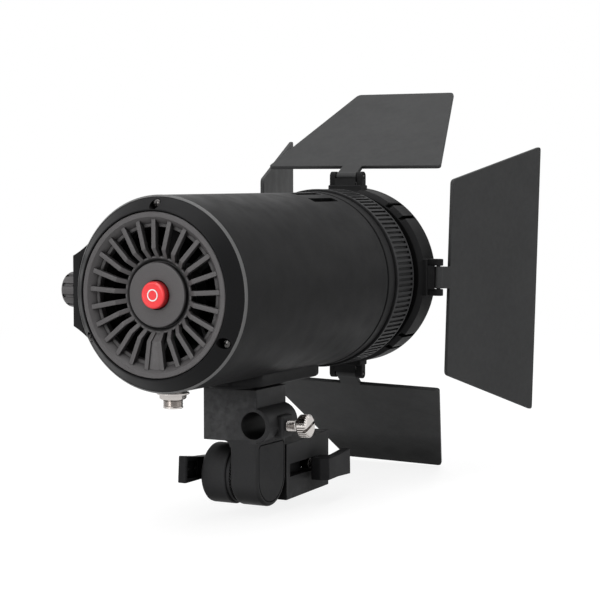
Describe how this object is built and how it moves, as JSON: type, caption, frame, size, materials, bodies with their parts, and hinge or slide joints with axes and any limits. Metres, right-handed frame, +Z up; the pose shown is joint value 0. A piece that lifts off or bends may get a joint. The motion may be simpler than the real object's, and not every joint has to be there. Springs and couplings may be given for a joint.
{
  "type": "cob led video light",
  "caption": "Barrel-shaped COB LED video light with fan, focus ring, rotating barn doors and a toothed tilt bracket on a stand adapter.",
  "frame": {"origin": "centre of the mouth of the stand socket, which a stand's spigot goes into", "axes": "+Z up, the beam leaves towards -Y, the stand socket opens towards -Y, the control pod is on the +X side"},
  "size_m": [0.1332, 0.2419, 0.1798],
  "materials": {
    "satin_black": "satin, finely textured",
    "black_plastic": "satin",
    "grey_plastic": "satin",
    "red_plastic": "gloss",
    "leaf_black": "black powder coat, satin",
    "cast_black": "black paint on a casting, satin",
    "bright_nickel": "nickel plate",
    "black_nickel": "black nickel plate",
    "bare_aluminium": "satin",
    "board_green": "satin",
    "phosphor": "matte",
    "lens_glass": "polished",
    "dark_window": "gloss"
  },
  "bodies": {
    "stand_adapter": {"receiver_body": "cast_black", "receiver_screw": "black_nickel"},
    "stand_lever": {"stand_lever": "cast_black"},
    "tilt_lever": {"tilt_lever": "cast_black"},
    "light": {"barrel_housing": "satin_black", "rear_bezel": "satin_black", "rear_grille": "grey_plastic", "bezel_screw_top": "black_nickel", "bezel_screw_right": "black_nickel", "bezel_screw_left": "black_nickel", "power_switch": "black_plastic", "fan_frame": "black_plastic", "driver_board": "board_green", "heat_sink": "bare_aluminium", "cob_board": "bare_aluminium", "cob_emitter": "phosphor", "cob_holder": "black_plastic", "control_board": "board_green", "display_window": "dark_window", "dc_jack": "bright_nickel", "jack_nut": "bright_nickel", "front_tube": "satin_black", "bracket": "cast_black", "arm_cover": "black_plastic", "tilt_bolt": "black_nickel", "bracket_screw_rear": "black_nickel", "bracket_screw_front": "black_nickel"},
    "power_button": {"power_button": "red_plastic"},
    "fan_rotor": {"fan_rotor": "black_plastic"},
    "dimmer_knob": {"dimmer_knob": "grey_plastic"},
    "mode_button": {"mode_button": "grey_plastic"},
    "umbrella_screw": {"umbrella_screw": "bright_nickel"},
    "focus_ring": {"focus_ring": "black_plastic"},
    "lens_carrier": {"lens_holder": "black_plastic", "lens": "lens_glass"},
    "barndoor_ring": {"barndoor_ring": "satin_black", "hinge_pin_top": "black_nickel", "hinge_pin_right": "black_nickel", "hinge_pin_bottom": "black_nickel", "hinge_pin_left": "black_nickel"},
    "door_top": {"door_leaf_top": "leaf_black"},
    "door_right": {"door_leaf_right": "leaf_black"},
    "door_bottom": {"door_leaf_bottom": "leaf_black"},
    "door_left": {"door_leaf_left": "leaf_black"}
  },
  "joints": [
    {"name": "tilt", "type": "hinge", "parent": "stand_adapter", "child": "light", "pos_m": [0, 0.0512, 0], "axis": [-1, 0, 0], "range_deg": [0, 180]},
    {"name": "stand_lever_turn", "type": "hinge", "parent": "stand_adapter", "child": "stand_lever", "pos_m": [-0.0125, 0.0169, 0.0005], "axis": [1, 0, 0], "range_deg": [-90, 90]},
    {"name": "tilt_lever_turn", "type": "hinge", "parent": "stand_adapter", "child": "tilt_lever", "pos_m": [0.011, 0.0512, 0], "axis": [1, 0, 0], "range_deg": [-90, 90]},
    {"name": "power_press", "type": "slide", "parent": "light", "child": "power_button", "axis": [0, -1, 0], "range_m": [0, 0.0015], "stiffness_N_per_m": 900},
    {"name": "fan_spin", "type": "hinge", "parent": "light", "child": "fan_rotor", "pos_m": [0, 0.097, 0.0775], "axis": [0, -1, 0], "continuous": true},
    {"name": "dimmer_turn", "type": "hinge", "parent": "light", "child": "dimmer_knob", "pos_m": [0.046, 0.1034, 0.0775], "axis": [1, 0, 0], "continuous": true},
    {"name": "mode_press", "type": "slide", "parent": "light", "child": "mode_button", "axis": [-1, 0, 0], "range_m": [0, 0.0008], "stiffness_N_per_m": 600},
    {"name": "umbrella_clamp", "type": "hinge", "parent": "light", "child": "umbrella_screw", "pos_m": [-0.0184, 0.0512, 0.021], "axis": [-0.9981, 0, 0.0611], "continuous": true},
    {"name": "focus_turn", "type": "hinge", "parent": "light", "child": "focus_ring", "pos_m": [0, -0.0223, 0.0775], "axis": [0, -1, 0], "range_deg": [0, 90]},
    {"name": "lens_travel", "type": "slide", "parent": "light", "child": "lens_carrier", "axis": [0, -1, 0], "range_m": [0, 0.008]},
    {"name": "barndoor_turn", "type": "hinge", "parent": "light", "child": "barndoor_ring", "pos_m": [0, -0.0447, 0.0775], "axis": [0, -1, 0], "continuous": true},
    {"name": "door_top_fold", "type": "hinge", "parent": "barndoor_ring", "child": "door_top", "pos_m": [0, -0.0447, 0.1225], "axis": [-1, 0, 0], "range_deg": [-56, 84]},
    {"name": "door_right_fold", "type": "hinge", "parent": "barndoor_ring", "child": "door_right", "pos_m": [-0.045, -0.0447, 0.0775], "axis": [0, 0, -1], "range_deg": [-23.9, 101.1]},
    {"name": "door_bottom_fold", "type": "hinge", "parent": "barndoor_ring", "child": "door_bottom", "pos_m": [0, -0.0447, 0.0325], "axis": [1, 0, 0], "range_deg": [-64.2, 75.8]},
    {"name": "door_left_fold", "type": "hinge", "parent": "barndoor_ring", "child": "door_left", "pos_m": [0.045, -0.0447, 0.0775], "axis": [0, 0, 1], "range_deg": [-26.2, 98.8]}
  ],
  "couplings": [
    {"joint": "lens_travel", "follows": "focus_turn", "m_per_rad": 0.005}
  ]
}
